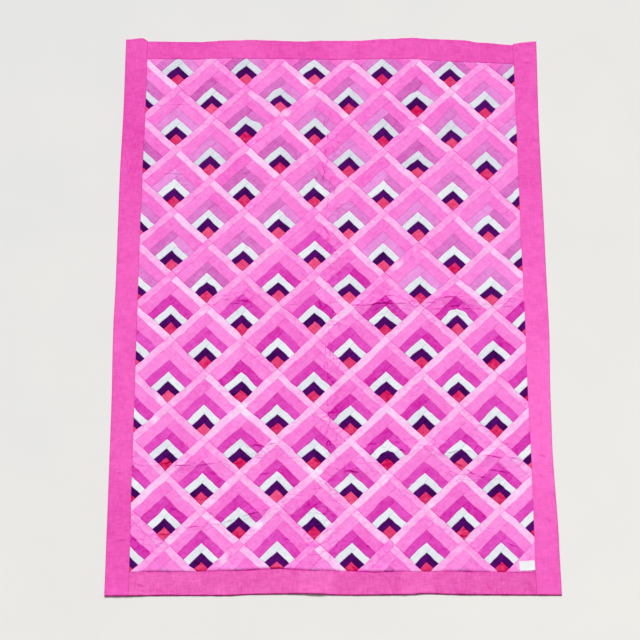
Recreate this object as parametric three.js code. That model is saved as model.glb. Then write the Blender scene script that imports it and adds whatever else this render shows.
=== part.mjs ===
// Patchwork wall quilt, laid out flat: a quilted centre panel, a border of four sewn-on strips and a
// small sewn-on label. Millimetres. +X runs across the quilt, +Y towards its top edge and +Z up.
// The origin is at the middle of its underside.
import * as THREE from 'three';

// Overall size, and the lines on which the border is sewn to the panel.
const WIDTH = 1640;
const LENGTH = 2328;
const PANEL = { left: -732, right: 726, bottom: -1070, top: 1053 };
const QUILT_THICKNESS = 5;       // pieced top, wadding and backing together
const PIECE_GAP = 0.3;           // between neighbouring pieces
const LABEL = { x: 699, y: -1045, width: 56, height: 37, thickness: 1, turn: 3.5 };   // turn in degrees

const COLOURS = { panel: 0xf48ad2, border: 0xee58b8, label: 0xf4f2f3 };
const FABRIC = { roughness: 0.92, metalness: 0 };

// An edge or seam line runs at its base, and its rows say how far it wanders from there: "at" is the
// place along the line and "off" the shift, along +X for an upright line and +Y for a level one.
const EDGES = {
  left: {
    base: -WIDTH / 2,
    gap: 0,
    rows: [
      { at: -1160, off: 2 }, { at: -450, off: 2 }, { at: -120, off: 0 }, { at: 500, off: 1 },
      { at: 850, off: 6 },
    ],
  },
  right: {
    base: WIDTH / 2,
    gap: 0,
    rows: [
      { at: -1150, off: 0 }, { at: -580, off: -10 }, { at: -400, off: -10 }, { at: -100, off: -4 },
      { at: 200, off: -6 }, { at: 800, off: -9 }, { at: 1150, off: -5 },
    ],
  },
  bottom: {
    base: -LENGTH / 2,
    gap: 0,
    rows: [
      { at: -800, off: 0 }, { at: -400, off: 0 }, { at: -270, off: 5 }, { at: -140, off: 7 },
      { at: 60, off: 4 }, { at: 260, off: 6 }, { at: 330, off: 10 }, { at: 800, off: 8 },
    ],
  },
  top: {
    base: LENGTH / 2,
    gap: 0,
    rows: [
      { at: -540, off: -37 }, { at: -400, off: -26 }, { at: -120, off: -26 }, { at: -40, off: -20 },
      { at: 100, off: -18 }, { at: 330, off: 0 }, { at: 520, off: -8 }, { at: 600, off: -20 },
      { at: 720, off: -26 },
    ],
  },
  topOfLeftStrip: {
    base: LENGTH / 2,
    gap: 0,
    rows: [{ at: -815, off: -32 }, { at: -755, off: -22 }, { at: -730, off: -33 }],
  },
  topOfRightStrip: {
    base: LENGTH / 2,
    gap: 0,
    rows: [{ at: 730, off: -20 }, { at: 815, off: -10 }],
  },
};

const SEAMS = {
  left: {
    base: PANEL.left,
    gap: PIECE_GAP / 2,
    rows: [{ at: -1000, off: 0 }, { at: -780, off: -2 }, { at: 200, off: -2 }, { at: 830, off: 4 }],
  },
  right: {
    base: PANEL.right,
    gap: PIECE_GAP / 2,
    rows: [{ at: -1000, off: 3 }, { at: -600, off: 3 }, { at: 0, off: 0 }, { at: 300, off: -3 }],
  },
  bottom: {
    base: PANEL.bottom,
    gap: PIECE_GAP / 2,
    rows: [
      { at: -730, off: -7 }, { at: -580, off: -6 }, { at: -360, off: -1 }, { at: -200, off: 7 },
      { at: -85, off: 1 }, { at: 25, off: 1 }, { at: 135, off: -4 }, { at: 415, off: 2 },
    ],
  },
  top: {
    base: PANEL.top,
    gap: PIECE_GAP / 2,
    rows: [
      { at: -530, off: -7 }, { at: -400, off: 0 }, { at: 0, off: 1 }, { at: 300, off: 10 },
      { at: 350, off: 9 }, { at: 430, off: 3 }, { at: 520, off: -1 }, { at: 720, off: -5 },
    ],
  },
};

// Soft ridges that stay where the quilt was folded for storage: "wide" from foot to foot, and "high"
// at each point of the ridge's line. Everywhere else the quilt lies flat on its underside.
const FOLDS = [
  {
    name: 'lengthwise',
    wide: 60,
    line: [
      { x: 6, y: 690, high: 0 }, { x: 2, y: 480, high: 4 }, { x: 0, y: 120, high: 6 },
      { x: -4, y: -220, high: 6 }, { x: -6, y: -600, high: 4 }, { x: -16, y: -900, high: 3 },
      { x: -30, y: -1164, high: 6 },
    ],
  },
  {
    name: 'crosswise on the right',
    wide: 56,
    line: [
      { x: 40, y: -14, high: 0 }, { x: 150, y: -6, high: 5 }, { x: 260, y: 0, high: 5 },
      { x: 360, y: 8, high: 3 }, { x: 440, y: 22, high: 5 }, { x: 560, y: 10, high: 4 },
      { x: 700, y: 0, high: 2 }, { x: 820, y: 4, high: 0 },
    ],
  },
  {
    name: 'crosswise on the left',
    wide: 56,
    line: [{ x: -450, y: 0, high: 0 }, { x: -370, y: 2, high: 4 }, { x: -290, y: -6, high: 0 }],
  },
  {
    name: 'lower quarter on the left',
    wide: 60,
    line: [
      { x: -820, y: -680, high: 0 }, { x: -732, y: -668, high: 2 }, { x: -600, y: -655, high: 4 },
      { x: -430, y: -658, high: 4 }, { x: -300, y: -600, high: 4 }, { x: -180, y: -590, high: 0 },
    ],
  },
  {
    name: 'lower quarter on the right',
    wide: 60,
    line: [
      { x: 20, y: -690, high: 0 }, { x: 80, y: -686, high: 5 }, { x: 160, y: -650, high: 3 },
      { x: 255, y: -603, high: 4 }, { x: 350, y: -600, high: 2 }, { x: 450, y: -603, high: 5 },
      { x: 600, y: -624, high: 4 }, { x: 726, y: -632, high: 2 }, { x: 820, y: -640, high: 0 },
    ],
  },
  {
    name: 'short one beside it',
    wide: 56,
    line: [
      { x: 430, y: -664, high: 0 }, { x: 500, y: -685, high: 4 }, { x: 560, y: -702, high: 3 },
      { x: 640, y: -680, high: 0 },
    ],
  },
  {
    name: 'slanting, low on the left',
    wide: 60,
    line: [
      { x: -430, y: -900, high: 0 }, { x: -340, y: -862, high: 4 }, { x: -250, y: -842, high: 5 },
      { x: -180, y: -824, high: 0 },
    ],
  },
  {
    name: 'curl of the bottom left corner',
    wide: 110,
    line: [{ x: -820, y: -1164, high: 4 }, { x: -720, y: -1158, high: 2 }, { x: -640, y: -1150, high: 0 }],
  },
];

// Grid of the sheets: each band runs from the one before it to "until", in cells of about "cell".
const GRID_X = {
  start: -WIDTH / 2,
  bands: [
    { until: PANEL.left, cell: 44 }, { until: -60, cell: 62 }, { until: 40, cell: 25 },
    { until: PANEL.right, cell: 62 }, { until: WIDTH / 2, cell: 47 },
  ],
};
const GRID_Y = {
  start: -LENGTH / 2,
  bands: [
    { until: PANEL.bottom, cell: 47 }, { until: -930, cell: 72 }, { until: -795, cell: 27 },
    { until: -735, cell: 72 }, { until: -570, cell: 24 }, { until: -52, cell: 74 },
    { until: 52, cell: 26 }, { until: PANEL.top, cell: 72 }, { until: LENGTH / 2, cell: 56 },
  ],
};

// Place of an edge or seam line at a distance along it, easing from each row to the next.
function linePlace(line, along) {
  const rows = line.rows;
  const last = rows.length - 1;
  if (along <= rows[0].at) return line.base + rows[0].off;
  if (along >= rows[last].at) return line.base + rows[last].off;
  const next = rows.findIndex((row) => row.at > along);
  const from = rows[next - 1];
  const to = rows[next];
  const ease = THREE.MathUtils.smoothstep(along, from.at, to.at);
  return line.base + THREE.MathUtils.lerp(from.off, to.off, ease);
}

// Height of one straight length of a ridge above a point of the floor.
function ridgeHeight(from, to, wide, x, y) {
  const run = new THREE.Vector2(to.x - from.x, to.y - from.y);
  const reach = new THREE.Vector2(x - from.x, y - from.y);
  const share = THREE.MathUtils.clamp(reach.dot(run) / run.lengthSq(), 0, 1);
  const away = reach.addScaledVector(run, -share).length() / (wide / 2);
  if (away >= 1) return 0;
  return THREE.MathUtils.lerp(from.high, to.high, share) * Math.cos(away * Math.PI / 2) ** 2;
}

// How far the quilt's underside stands off the floor at a point.
function lift(x, y) {
  let height = 0;
  for (const fold of FOLDS) {
    for (let k = 1; k < fold.line.length; k += 1) {
      height = Math.max(height, ridgeHeight(fold.line[k - 1], fold.line[k], fold.wide, x, y));
    }
  }
  return height;
}

// Grid lines of one direction between two places that are ends of bands.
function gridLines(grid, from, to) {
  const lines = [from];
  let start = grid.start;
  for (const band of grid.bands) {
    const cells = Math.ceil((band.until - start) / band.cell);
    for (let k = 1; k <= cells; k += 1) {
      const place = start + (band.until - start) * k / cells;
      if (start >= from && band.until <= to) lines.push(place);
    }
    start = band.until;
  }
  return lines;
}

// A closed sheet between four edge or seam lines, its grid eased to them and lifted over the folds.
function sheetGeometry(sides) {
  const { left, right, bottom, top } = sides;
  const columns = gridLines(GRID_X, left.base, right.base);
  const rows = gridLines(GRID_Y, bottom.base, top.base);
  const points = [];
  for (const row of rows) {
    for (const column of columns) {
      const shareUp = (row - bottom.base) / (top.base - bottom.base);
      const shareAcross = (column - left.base) / (right.base - left.base);
      const lowest = linePlace(bottom, column) + bottom.gap;
      const highest = linePlace(top, column) - top.gap;
      const y = THREE.MathUtils.lerp(lowest, highest, shareUp);
      const leftmost = linePlace(left, y) + left.gap;
      const rightmost = linePlace(right, y) - right.gap;
      const x = THREE.MathUtils.lerp(leftmost, rightmost, shareAcross);
      const z = lift(x, y);
      points.push(x, y, z, x, y, z + QUILT_THICKNESS);
    }
  }

  const wide = columns.length;
  const tall = rows.length;
  const under = (i, j) => 2 * (j * wide + i);
  const over = (i, j) => under(i, j) + 1;
  const faces = [];
  const quad = (a, b, c, d) => faces.push(a, b, c, a, c, d);
  for (let j = 1; j < tall; j += 1) {
    for (let i = 1; i < wide; i += 1) {
      quad(over(i - 1, j - 1), over(i, j - 1), over(i, j), over(i - 1, j));
      quad(under(i - 1, j - 1), under(i - 1, j), under(i, j), under(i, j - 1));
    }
    quad(under(0, j), under(0, j - 1), over(0, j - 1), over(0, j));
    quad(under(wide - 1, j - 1), under(wide - 1, j), over(wide - 1, j), over(wide - 1, j - 1));
  }
  for (let i = 1; i < wide; i += 1) {
    quad(under(i - 1, 0), under(i, 0), over(i, 0), over(i - 1, 0));
    quad(under(i, tall - 1), under(i - 1, tall - 1), over(i - 1, tall - 1), over(i, tall - 1));
  }

  const geometry = new THREE.BufferGeometry();
  geometry.setAttribute('position', new THREE.Float32BufferAttribute(points, 3));
  geometry.setIndex(faces);
  geometry.computeVertexNormals();
  return geometry;
}

function namedMesh(name, geometry, colour) {
  const mesh = new THREE.Mesh(geometry, new THREE.MeshStandardMaterial({ color: colour, ...FABRIC }));
  mesh.name = name;
  return mesh;
}

// The label is a flat patch that lies on the panel's top face, a gap above it.
function sewnLabel() {
  const geometry = new THREE.BoxGeometry(LABEL.width, LABEL.height, LABEL.thickness);
  const label = namedMesh('label', geometry, COLOURS.label);
  const height = lift(LABEL.x, LABEL.y) + QUILT_THICKNESS + PIECE_GAP + LABEL.thickness / 2;
  label.position.set(LABEL.x, LABEL.y, height);
  label.rotation.z = THREE.MathUtils.degToRad(LABEL.turn);
  return label;
}

// Cut pieces and the lines between which each is sewn.
const SHEETS = [
  { name: 'centre_panel', colour: COLOURS.panel, sides: SEAMS },
  {
    name: 'border_left',
    colour: COLOURS.border,
    sides: { left: EDGES.left, right: SEAMS.left, bottom: EDGES.bottom, top: EDGES.topOfLeftStrip },
  },
  {
    name: 'border_right',
    colour: COLOURS.border,
    sides: { left: SEAMS.right, right: EDGES.right, bottom: EDGES.bottom, top: EDGES.topOfRightStrip },
  },
  {
    name: 'border_top',
    colour: COLOURS.border,
    sides: { left: SEAMS.left, right: SEAMS.right, bottom: SEAMS.top, top: EDGES.top },
  },
  {
    name: 'border_bottom',
    colour: COLOURS.border,
    sides: { left: SEAMS.left, right: SEAMS.right, bottom: EDGES.bottom, top: SEAMS.bottom },
  },
];

const quilt = new THREE.Group();
for (const { name, colour, sides } of SHEETS) quilt.add(namedMesh(name, sheetGeometry(sides), colour));
quilt.add(sewnLabel());

// The grid can miss an edge's furthest point by a hair, so the origin is set from what was made.
const box = new THREE.Box3().setFromObject(quilt);
const middle = box.getCenter(new THREE.Vector3());
quilt.position.set(-middle.x, -middle.y, -box.min.z);

export default quilt;
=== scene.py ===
import math
import random
from collections import namedtuple

import bmesh
import bpy
import numpy as np
from mathutils import Matrix, Vector


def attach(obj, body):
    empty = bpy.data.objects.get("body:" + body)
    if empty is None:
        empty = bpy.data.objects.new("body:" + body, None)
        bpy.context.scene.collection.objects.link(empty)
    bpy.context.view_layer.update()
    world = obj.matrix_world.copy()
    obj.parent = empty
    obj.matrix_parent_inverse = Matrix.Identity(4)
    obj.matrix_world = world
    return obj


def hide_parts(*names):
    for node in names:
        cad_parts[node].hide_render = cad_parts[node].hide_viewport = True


# A patchwork wall quilt laid out flat, face up. Sizes below are in millimetres, in the quilt's own
# frame: +X across it, +Y towards its top edge and +Z up. A mesh is turned to metres as it is written.
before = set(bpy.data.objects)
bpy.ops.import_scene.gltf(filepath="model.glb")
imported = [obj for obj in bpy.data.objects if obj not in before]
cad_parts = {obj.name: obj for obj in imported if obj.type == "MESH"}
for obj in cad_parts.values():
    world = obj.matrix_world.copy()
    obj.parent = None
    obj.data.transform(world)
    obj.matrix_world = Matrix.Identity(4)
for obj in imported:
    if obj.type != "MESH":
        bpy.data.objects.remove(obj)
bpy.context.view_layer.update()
MM = 0.001

WIDTH = 1640
LENGTH = 2328
PANEL = {"left": -732, "right": 726, "bottom": -1070, "top": 1053}

# ---- The quilt's outline, seams and folds -------------------------------------------------------

# An edge or seam runs at its base; each row gives a place along it and how far it wanders there.
Line = namedtuple("Line", "base rows")

EDGES = {
    "left": Line(-WIDTH / 2, [
        (-1164, 2), (-450, 2), (-120, -2), (80, 1), (500, 1), (850, 6), (1130, 6),
    ]),
    "right": Line(WIDTH / 2, [
        (-1150, 0), (-950, -2), (-580, -11), (-400, -10), (-100, -4), (200, -6), (800, -9),
        (1156, -5),
    ]),
    "bottom": Line(-LENGTH / 2, [
        (-807, -8), (-570, -3), (-400, -2), (-270, 4), (-140, 6), (60, 3), (260, 6), (330, 11),
        (470, 8), (800, 9),
    ]),
    "top": Line(LENGTH / 2, [
        (-724, -37), (-540, -37), (-400, -27), (-310, -24), (-120, -28), (-40, -23), (100, -21),
        (210, -11), (330, -4), (390, -8), (520, -11), (600, -22), (724, -31),
    ]),
    "top of left strip": Line(LENGTH / 2, [(-814, -29), (-755, -22), (-731, -33)]),
    "top of right strip": Line(LENGTH / 2, [(728, -25), (765, -18), (814, -13)]),
}

SEAMS = {
    "left": Line(PANEL["left"], [(-1000, 0), (-780, -2), (200, -2), (500, 0), (830, 4)]),
    "right": Line(PANEL["right"], [
        (-1000, 3), (-600, 3), (-350, 0), (0, 0), (300, -3), (1050, -4),
    ]),
    "bottom": Line(PANEL["bottom"], [
        (-727, -9), (-585, -8), (-360, -2), (-200, 7), (-85, 1), (25, 1), (135, -3), (250, 0),
        (415, 3), (530, 1), (720, 1),
    ]),
    "top": Line(PANEL["top"], [
        (-727, -6), (-530, -6), (-470, -1), (-400, 1), (0, 1), (210, 7), (300, 9), (350, 8),
        (430, 2), (520, -2), (720, -6),
    ]),
}
PANEL_SIDES = [SEAMS[side] for side in ("left", "right", "bottom", "top")]

# Broad ridges left by folding: "wide" from foot to foot, and points of x, y and height.
Fold = namedtuple("Fold", "wide line")

FOLDS = [
    # lengthwise, down the middle
    Fold(80, [
        (6, 690, 0), (2, 480, 3), (0, 120, 4), (-4, -220, 4), (-6, -600, 3), (-16, -900, 2),
        (-30, -1120, 3), (-60, -1164, 4),
    ]),
    # crosswise, on the right and then on the left
    Fold(80, [
        (40, -14, 0), (150, -6, 4), (260, 0, 4), (360, 8, 2), (440, 22, 4), (560, 10, 3),
        (700, 0, 1.5), (820, 4, 0),
    ]),
    Fold(80, [(-450, 0, 0), (-370, 2, 3), (-290, -6, 0)]),
    # lower quarter, on the left and then on the right
    Fold(80, [
        (-820, -680, 0), (-732, -668, 1.5), (-600, -655, 3), (-430, -658, 3), (-300, -600, 3),
        (-180, -590, 0),
    ]),
    Fold(80, [
        (20, -690, 0), (80, -686, 4), (160, -650, 2.5), (255, -603, 4), (350, -600, 1.5),
        (450, -603, 4), (600, -624, 3), (726, -632, 1.5), (820, -640, 0),
    ]),
    Fold(80, [(430, -664, 0), (500, -685, 3), (560, -702, 2), (640, -680, 0)]),
    # slanting, low on the left
    Fold(80, [(-430, -900, 0), (-340, -862, 3), (-250, -842, 4), (-180, -824, 0)]),
    # curl of the bottom left corner
    Fold(110, [(-820, -1164, 3), (-720, -1158, 1.5), (-640, -1150, 0)]),
]

# Sharp creases on the face, "high" at their middle and fading at both ends. From a crease's line the
# face falls steeply on its right-hand side and softly on its left, "wide" from foot to foot.
Crease = namedtuple("Crease", "wide high line")
CREASE_STEEP = 0.15          # share of the width on the steep side
CREASE_PAINTED_SHADE = 0.42           # painted shade: how much deeper a crease's colour is made for each millimetre of its height
PAINTED_SHADE_STEEP = 0.6             # share of the painted shade stripe's width on the steep side

CREASES = [Crease(*row) for row in [
    # beside the middle, on the left
    (17, 1.8, [(-418, -4), (-402, 0), (-377, 8)]),
    (18, 2.3, [(-384, -12), (-362, -15), (-340, -15)]),
    (17, 1.8, [(-370, 0), (-343, -2), (-320, -5), (-300, -9)]),
    (14, 1.2, [(-180, -18), (-150, -17), (-115, -16)]),
    (14, 1.4, [(-490, 8), (-475, 9), (-460, 7)]),
    # along the crosswise fold
    (20, 1.8, [(60, -15), (90, -16), (125, -18)]),
    (26, 3.1, [(108, -18), (150, -15), (168, -9), (200, -7), (244, -10)]),
    (17, 2.1, [(228, -8), (258, -8), (290, -8)]),
    (14, 1.4, [(282, -3), (300, 3), (318, 2)]),
    (14, 1.4, [(340, -5), (370, -2), (398, 2)]),
    (16, 1.6, [(190, 20), (208, 25), (238, 28)]),
    (14, 1.2, [(234, -14), (245, -28), (257, -42)]),
    (14, 1.2, [(320, 14), (335, 15), (350, 13)]),
    (18, 2.1, [(400, 16), (430, 20), (455, 22), (477, 21)]),
    (14, 1.4, [(470, 19), (490, 25), (505, 24)]),
    (20, 2.2, [(434, -18), (455, -15), (486, -12)]),
    (20, 2.3, [(480, -24), (505, -26), (528, -26)]),
    (15, 1.8, [(520, -26), (550, -25), (577, -27)]),
    (15, 1.6, [(358, -31), (400, -27), (440, -18)]),
    (14, 1.2, [(512, 14), (540, 8), (568, 0)]),
    (15, 1.7, [(640, 12), (672, 18), (702, 22)]),
    (15, 1.6, [(640, -16), (662, -14), (682, -11)]),
    # down the lengthwise fold
    (15, 1.8, [(-42, 810), (-30, 798), (-22, 788)]),
    (14, 1.4, [(-68, 832), (-66, 822), (-64, 812)]),
    (15, 2.1, [(-42, 596), (-33, 568), (-29, 549)]),
    (16, 2.2, [(-34, 514), (-35, 527), (-33, 541)]),
    (15, 1.8, [(-37, 496), (-34, 482), (-29, 470)]),
    (15, 1.8, [(10, 453), (7, 468), (12, 488)]),
    (17, 2.2, [(-44, 324), (-25, 301), (-15, 284), (-8, 266)]),
    (14, 1.2, [(-10, 232), (-5, 217), (0, 203)]),
    (14, 1.6, [(0, 92), (0, 101), (1, 110)]),
    (14, 1.6, [(-52, 3), (-48, -12), (-43, -27)]),
    (14, 1.8, [(2, -176), (4, -168), (5, -158)]),
    (14, 1.4, [(-42, -180), (-36, -188), (-30, -197)]),
    (16, 1.8, [(-36, -262), (-32, -270), (-28, -279)]),
    (16, 1.8, [(-17, -303), (-14, -315), (-10, -328)]),
    (14, 1.4, [(-8, -414), (-10, -390), (-5, -364)]),
    (14, 1.6, [(-86, -450), (-74, -465), (-66, -480)]),
    (18, 2.1, [(-25, -545), (-13, -570), (-10, -585), (-3, -603)]),
    (16, 2.2, [(-28, -597), (-22, -578), (-17, -560)]),
    # along the lower quarter, on the left
    (15, 1.6, [(-735, -662), (-700, -672), (-672, -670)]),
    (18, 2.1, [(-633, -665), (-611, -662), (-590, -657)]),
    (17, 1.8, [(-590, -668), (-563, -672), (-540, -670), (-510, -669)]),
    (19, 2.1, [(-507, -675), (-478, -668), (-459, -664), (-422, -659)]),
    (14, 1.2, [(-420, -657), (-409, -654), (-400, -650)]),
    (16, 2.2, [(-296, -553), (-286, -568), (-280, -586)]),
    (20, 2.4, [(-304, -591), (-286, -587), (-263, -591), (-248, -594)]),
    (15, 1.7, [(-252, -593), (-231, -583), (-212, -578), (-198, -580)]),
    (15, 1.6, [(-284, -638), (-268, -636), (-252, -635)]),
    (17, 2.1, [(-281, -705), (-252, -699), (-229, -695)]),
    (14, 1.2, [(-166, -635), (-150, -635), (-136, -636)]),
    (18, 2.1, [(-82, -634), (-61, -647), (-45, -653)]),
    (14, 1.6, [(-62, -714), (-50, -722), (-40, -731)]),
    (17, 2.2, [(-38, -721), (-26, -735), (-15, -748)]),
    (14, 1.1, [(-86, -758), (-70, -757), (-52, -756)]),
    # along the lower quarter, on the right
    (16, 1.8, [(2, -673), (15, -678), (28, -688)]),
    (24, 3.8, [(34, -687), (61, -686), (77, -691), (98, -690)]),
    (14, 1.2, [(80, -678), (88, -676), (98, -674)]),
    (16, 1.8, [(115, -581), (140, -578), (162, -578)]),
    (14, 1.2, [(175, -589), (188, -591), (202, -591)]),
    (15, 1.6, [(225, -570), (236, -571), (248, -572)]),
    (24, 3.7, [(232, -598), (252, -603), (270, -612)]),
    (15, 1.4, [(260, -577), (272, -585), (286, -592)]),
    (18, 2.3, [(412, -608), (430, -611), (448, -606), (466, -601)]),
    (18, 2.3, [(479, -603), (498, -603), (513, -610)]),
    (20, 2.5, [(446, -650), (459, -656), (467, -660), (478, -670)]),
    (18, 2.4, [(479, -675), (498, -680), (505, -689), (527, -698)]),
    (17, 2.1, [(522, -697), (546, -706), (564, -709)]),
    (14, 1.2, [(534, -664), (546, -660), (560, -657)]),
    (18, 2.3, [(548, -621), (571, -621), (590, -624), (609, -628), (632, -632)]),
    (17, 2.2, [(644, -624), (663, -630), (690, -633)]),
    (19, 2.2, [(566, -675), (586, -677), (605, -680), (625, -684), (656, -686)]),
    (14, 1.4, [(620, -658), (634, -663), (648, -668)]),
    (14, 1.2, [(626, -570), (640, -572), (656, -575)]),
    # low on the left
    (15, 1.7, [(-600, -836), (-580, -840), (-560, -841)]),
    (16, 1.8, [(-542, -913), (-522, -908), (-497, -905), (-481, -908)]),
    (16, 1.8, [(-453, -896), (-420, -896), (-398, -896)]),
    (17, 2.1, [(-404, -894), (-379, -883), (-351, -875)]),
    (20, 2.3, [(-338, -868), (-314, -860), (-288, -854), (-264, -848)]),
    (14, 1.4, [(-262, -844), (-247, -840), (-230, -834)]),
    (19, 2.3, [(-635, -935), (-605, -938), (-588, -934)]),
    (14, 1.1, [(-406, -917), (-380, -938), (-352, -960)]),
    (16, 1.8, [(-190, -943), (-172, -950), (-151, -956)]),
    (15, 1.8, [(-54, -851), (-36, -853), (-16, -854)]),
    # low in the middle and on the right
    (15, 1.8, [(4, -990), (14, -970), (22, -958)]),
    (14, 1.2, [(115, -973), (126, -975), (140, -978)]),
    (15, 2.1, [(457, -928), (471, -934), (500, -926)]),
    (16, 2.2, [(625, -956), (645, -966), (674, -975)]),
    # the upper half
    (16, 1.2, [(-690, 537), (-600, 536), (-548, 533)]),
    (14, 1, [(-358, 537), (-335, 541), (-318, 553)]),
    (14, 1, [(-658, 844), (-600, 841), (-537, 844)]),
    (14, 1, [(-700, 838), (-668, 836), (-640, 843)]),
    (14, 1.1, [(-316, 353), (-300, 390), (-291, 427)]),
    (14, 1.1, [(-329, 830), (-318, 822), (-305, 826)]),
    # puckers at one of the hearts
    (12, 1.1, [(-80, 938), (-50, 908)]),
    (12, 1.1, [(-88, 918), (-44, 928)]),
    # the border
    (24, 1.4, [(740, 1052), (770, 1052), (800, 1057)]),
    (26, 1.9, [(-726, -1115), (-692, -1130), (-672, -1136)]),
    (24, 1.3, [(-692, -1145), (-680, -1152), (-666, -1161)]),
    (24, 1.7, [(547, -1108), (562, -1130), (575, -1150)]),
    (24, 1.5, [(-796, -965), (-765, -961), (-735, -955)]),
    (24, 1, [(-806, -703), (-780, -702), (-750, -700)]),
    (24, 1.1, [(-792, -1057), (-778, -1062), (-760, -1064)]),
    (26, 1.8, [(749, -612), (770, -618), (787, -625)]),
    (24, 1.2, [(765, -851), (783, -867), (803, -884)]),
]]

# How far the hem stands off the floor along the bottom edge, how far in its roll reaches, and how
# deep its puckers are, all along X.
BOTTOM_LIFT = Line(0, [
    (-820, 1.8), (-700, 1.2), (-640, 0.5), (-260, 0.4), (-180, 1.2), (-130, 3), (-80, 3.2),
    (-20, 0.8), (90, 0.7), (180, 1.2), (300, 1.6), (380, 0.8), (480, 1.6), (560, 0.6), (690, 0.3),
    (740, 1), (820, 1),
])
BOTTOM_ROLL = Line(0, [
    (-820, 5), (-720, 5), (-640, 3.5), (-300, 3), (-220, 5), (-130, 6.5), (-70, 5.5), (0, 3.5),
    (90, 4), (160, 5), (240, 5.5), (290, 9), (330, 7), (360, 5), (390, 8), (410, 6), (440, 9),
    (500, 10), (545, 8), (570, 4.5), (640, 3.5), (700, 3), (740, 4.5), (820, 4.5),
])
BOTTOM_PUCKERS = Line(0, [
    (-820, 0.3), (-640, 0.4), (-400, 0.3), (0, 0.3), (150, 0.5), (230, 1.0), (420, 1.1),
    (600, 0.8), (740, 0.4), (820, 0.3),
])

# How deep the seam above the bottom strip is drawn in, along X. The painted shade along that seam
# follows it too.
BOTTOM_SEAM = Line(0, [
    (-730, 0.8), (-700, 1.4), (-660, 2.8), (-560, 2.4), (-480, 1.2), (-400, 2.6), (-300, 3.4),
    (-200, 3.4), (-110, 2.8), (-10, 2.2), (60, 1.0), (110, 2.4), (150, 3.4), (195, 3.2),
    (250, 2.0), (290, 0.8), (370, 1.0), (420, 2.6), (540, 2.4), (600, 1.0), (700, 0.9),
])


def line_place(line, along):
    """Place of an edge or seam at places along it, easing from each row to the next."""
    at, off = np.array(line.rows, dtype=float).T
    k = np.clip(np.searchsorted(at, along, side="right") - 1, 0, len(at) - 2)
    share = np.clip((along - at[k]) / (at[k + 1] - at[k]), 0, 1)
    ease = share * share * (3 - 2 * share)
    return line.base + off[k] + (off[k + 1] - off[k]) * ease


def laid_between(sides, x, y):
    """Where points of a sheet with straight sides go once its sides follow their lines."""
    left, right, bottom, top = sides
    share_up = (y - bottom.base) / (top.base - bottom.base)
    share_across = (x - left.base) / (right.base - left.base)
    lowest = line_place(bottom, x)
    laid_y = lowest + (line_place(top, x) - lowest) * share_up
    leftmost = line_place(left, laid_y)
    laid_x = leftmost + (line_place(right, laid_y) - leftmost) * share_across
    return laid_x, laid_y


# A smooth uneven field: how high its bumps mostly are, about how far apart they lie, and its seed.
Swell = namedtuple("Swell", "high apart seed")
WAVES = 12                   # crossing waves that make up a field
WAVE_LENGTHS = (0.7, 1.5)    # the shortest and the longest of them, in lengths apart


def waves(x, y, swell):
    """Height of an uneven field."""
    draw = random.Random(swell.seed)
    field = np.zeros_like(x)
    for _ in range(WAVES):
        turn = draw.uniform(0, math.pi)
        pace = 2 * math.pi / (swell.apart * draw.uniform(*WAVE_LENGTHS))
        start = draw.uniform(0, 2 * math.pi)
        field += np.sin(pace * (x * math.cos(turn) + y * math.sin(turn)) + start)
    return swell.high * (field / math.sqrt(WAVES))


def ridge(x, y, wide, line, right_share=0.5):
    """Height of a ridge, or trough, along a line of points that each give x, y and height.

    Its foot on the line's right-hand side lies at that share of the width, so a low share is steep.
    """
    relief = np.zeros_like(x)
    for (x0, y0, high0), (x1, y1, high1) in zip(line, line[1:]):
        reach = wide * max(right_share, 1 - right_share)
        near = (x > min(x0, x1) - reach) & (x < max(x0, x1) + reach)
        near &= (y > min(y0, y1) - reach) & (y < max(y0, y1) + reach)
        px, py = x[near], y[near]
        run_x, run_y = x1 - x0, y1 - y0
        share = ((px - x0) * run_x + (py - y0) * run_y) / (run_x ** 2 + run_y ** 2)
        share = np.clip(share, 0, 1)
        leftward = run_x * (py - y0) - run_y * (px - x0)
        foot = wide * np.where(leftward > 0, 1 - right_share, right_share)
        away = np.hypot(px - x0 - share * run_x, py - y0 - share * run_y) / foot
        high = (high0 + (high1 - high0) * share) * np.cos(np.minimum(away, 1) * math.pi / 2) ** 2
        relief[near] = np.where(np.abs(high) > np.abs(relief[near]), high, relief[near])
    return relief


def faded(crease):
    """The points of a crease with their heights, which are nothing at both of its ends."""
    line = crease.line
    if len(line) == 2:
        (x0, y0), (x1, y1) = line
        line = [line[0], ((x0 + x1) / 2, (y0 + y1) / 2), line[1]]
    inner = [(x, y, crease.high) for x, y in line[1:-1]]
    return [(*line[0], 0)] + inner + [(*line[-1], 0)]


SMALL_WRINKLES = 380
FOLD_WRINKLES = 34


def small_wrinkles():
    """Short faint creases strewn over the quilt, most of them lying nearly crosswise."""
    draw = random.Random(31)
    wrinkles = []
    for _ in range(SMALL_WRINKLES):
        x, y = draw.uniform(-800, 800), 1130 - 2270 * draw.random() ** 0.8
        half = draw.uniform(10, 28)
        turn = math.radians(draw.choice((draw.gauss(0, 22), draw.gauss(0, 22), 45, -45)))
        reach_x, reach_y = half * math.cos(turn), half * math.sin(turn)
        bow = draw.uniform(-6, 6)
        line = [(x - reach_x, y - reach_y), (x, y + bow), (x + reach_x, y + reach_y)]
        most = 1.0 if y < 60 else 0.6
        wrinkles.append(Crease(draw.uniform(10, 15), draw.uniform(0.2, most), line))
    return wrinkles


def fold_wrinkles():
    """Short creases one below the other, which draw the lengthwise fold as a broken line."""
    draw = random.Random(33)
    wrinkles = []
    for _ in range(FOLD_WRINKLES):
        x, y = draw.gauss(-20, 8), draw.uniform(-660, 820)
        half, lean = draw.uniform(12, 30), draw.gauss(0, 5)
        line = [(x + lean, y - half), (x + draw.uniform(-4, 4), y), (x - lean, y + half)]
        wrinkles.append(Crease(draw.uniform(11, 15), draw.uniform(1.4, 2.4), line))
    return wrinkles


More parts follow.
